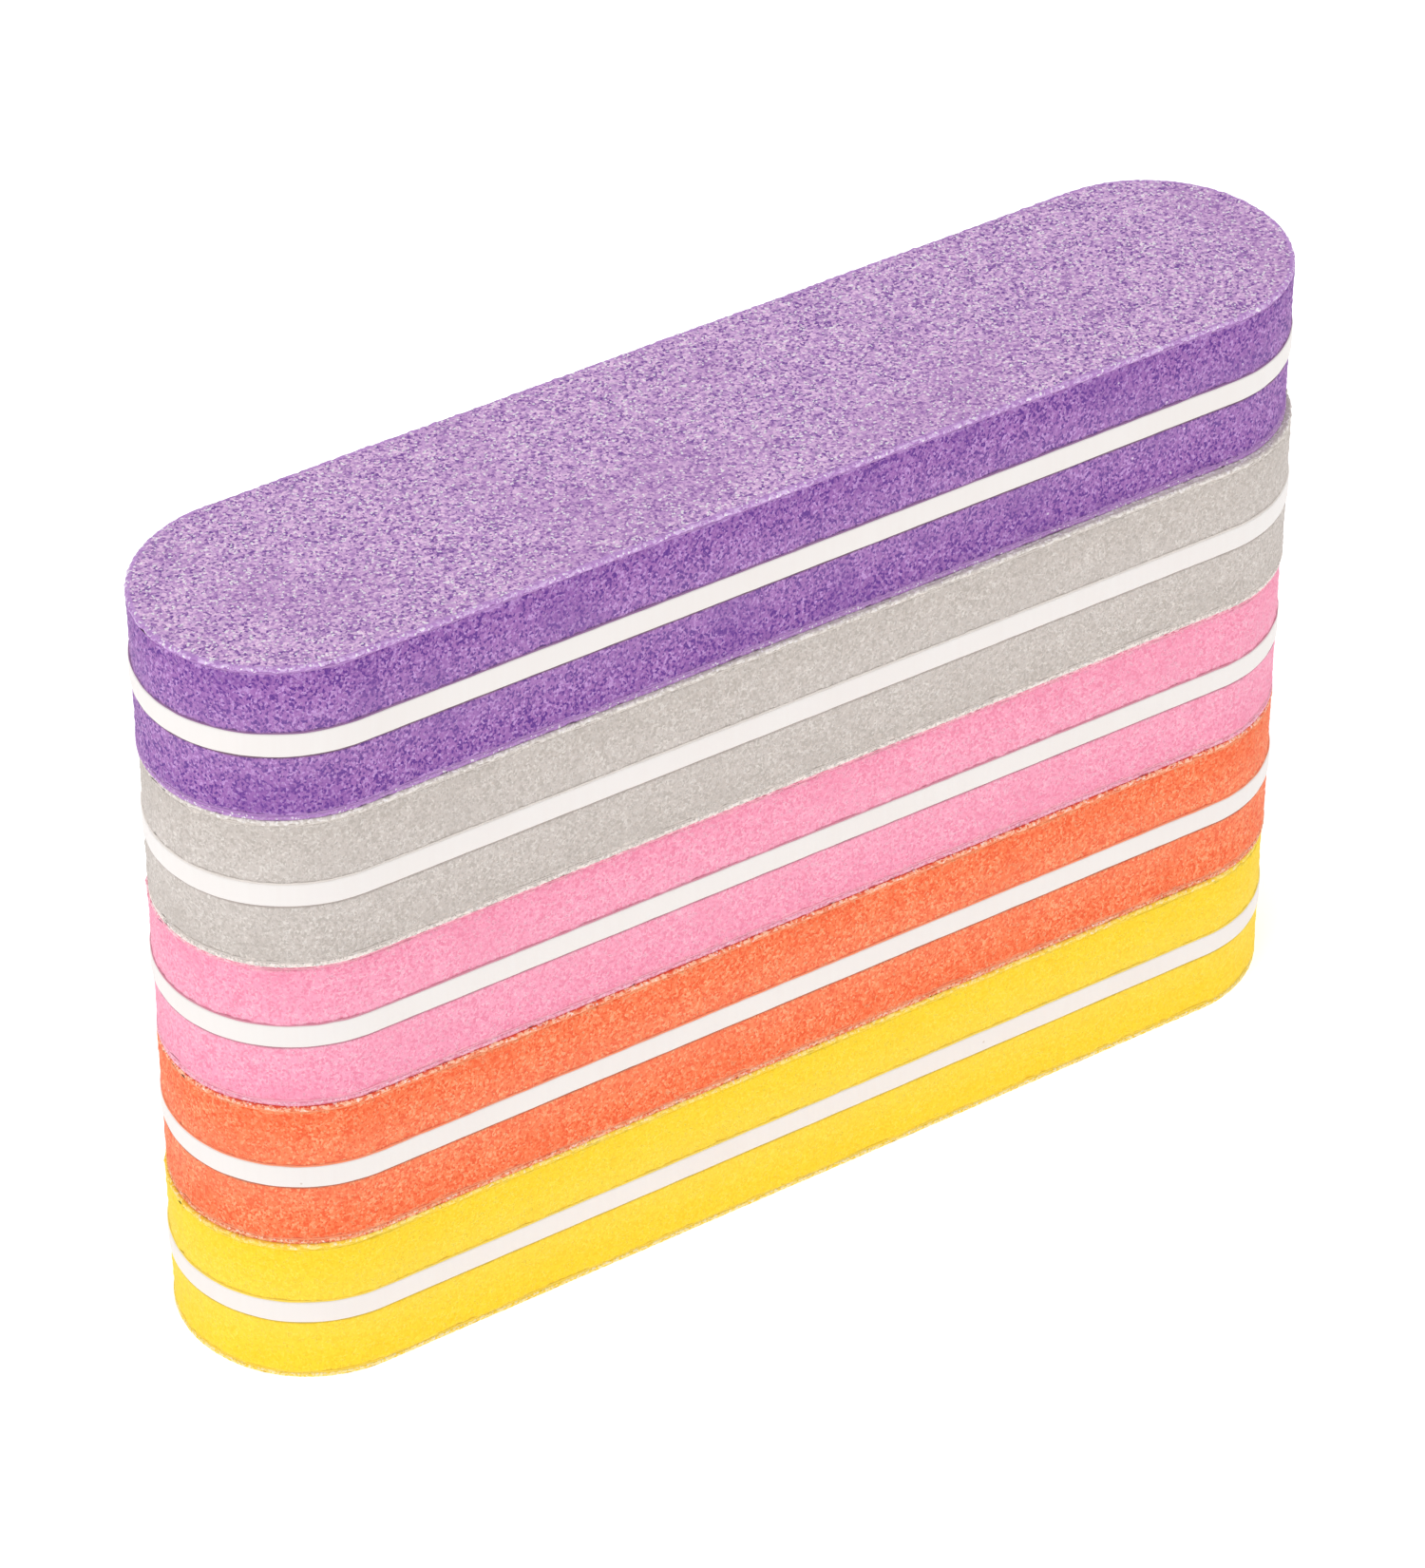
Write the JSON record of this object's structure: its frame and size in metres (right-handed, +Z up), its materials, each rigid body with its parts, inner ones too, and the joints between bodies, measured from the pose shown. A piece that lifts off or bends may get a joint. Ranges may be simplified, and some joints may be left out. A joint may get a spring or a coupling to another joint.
{
  "type": "nail buffer block set",
  "caption": "Stack of loose double-sided sponge nail buffer blocks with fully rounded ends, each a rigid core between foam pads faced with grit sheets.",
  "frame": {"origin": "centre of the lower face of the bottom block, where the stack rests", "axes": "+X along the blocks, +Y across them, +Z up through the stack"},
  "size_m": [0.0905, 0.0211, 0.06],
  "materials": {
    "yellow_grit": "matte",
    "yellow_foam": "matte",
    "orange_grit": "matte",
    "orange_foam": "matte",
    "pink_grit": "matte",
    "pink_foam": "matte",
    "grey_grit": "matte",
    "grey_foam": "matte",
    "purple_grit": "matte",
    "purple_foam": "matte",
    "core_plastic": "satin",
    "core_tape": "matte",
    "glue_film": "matte"
  },
  "bodies": {
    "yellow_block": {"yellow_lower_grit_sheet": "yellow_grit", "yellow_lower_glue_film": "glue_film", "yellow_lower_foam_pad": "yellow_foam", "yellow_lower_core_tape": "core_tape", "yellow_core_board": "core_plastic", "yellow_upper_core_tape": "core_tape", "yellow_upper_foam_pad": "yellow_foam", "yellow_upper_glue_film": "glue_film", "yellow_upper_grit_sheet": "yellow_grit"},
    "orange_block": {"orange_lower_grit_sheet": "orange_grit", "orange_lower_glue_film": "glue_film", "orange_lower_foam_pad": "orange_foam", "orange_lower_core_tape": "core_tape", "orange_core_board": "core_plastic", "orange_upper_core_tape": "core_tape", "orange_upper_foam_pad": "orange_foam", "orange_upper_glue_film": "glue_film", "orange_upper_grit_sheet": "orange_grit"},
    "pink_block": {"pink_lower_grit_sheet": "pink_grit", "pink_lower_glue_film": "glue_film", "pink_lower_foam_pad": "pink_foam", "pink_lower_core_tape": "core_tape", "pink_core_board": "core_plastic", "pink_upper_core_tape": "core_tape", "pink_upper_foam_pad": "pink_foam", "pink_upper_glue_film": "glue_film", "pink_upper_grit_sheet": "pink_grit"},
    "grey_block": {"grey_lower_grit_sheet": "grey_grit", "grey_lower_glue_film": "glue_film", "grey_lower_foam_pad": "grey_foam", "grey_lower_core_tape": "core_tape", "grey_core_board": "core_plastic", "grey_upper_core_tape": "core_tape", "grey_upper_foam_pad": "grey_foam", "grey_upper_glue_film": "glue_film", "grey_upper_grit_sheet": "grey_grit"},
    "purple_block": {"purple_lower_grit_sheet": "purple_grit", "purple_lower_glue_film": "glue_film", "purple_lower_foam_pad": "purple_foam", "purple_lower_core_tape": "core_tape", "purple_core_board": "core_plastic", "purple_upper_core_tape": "core_tape", "purple_upper_foam_pad": "purple_foam", "purple_upper_glue_film": "glue_film", "purple_upper_grit_sheet": "purple_grit"}
  },
  "joints": [
    {"name": "orange_block_lift", "type": "slide", "parent": "yellow_block", "child": "orange_block", "axis": [0, 0, 1], "range_m": [0, 0.03]},
    {"name": "pink_block_lift", "type": "slide", "parent": "orange_block", "child": "pink_block", "axis": [0, 0, 1], "range_m": [0, 0.03]},
    {"name": "grey_block_lift", "type": "slide", "parent": "pink_block", "child": "grey_block", "axis": [0, 0, 1], "range_m": [0, 0.03]},
    {"name": "purple_block_lift", "type": "slide", "parent": "grey_block", "child": "purple_block", "axis": [0, 0, 1], "range_m": [0, 0.03]}
  ]
}
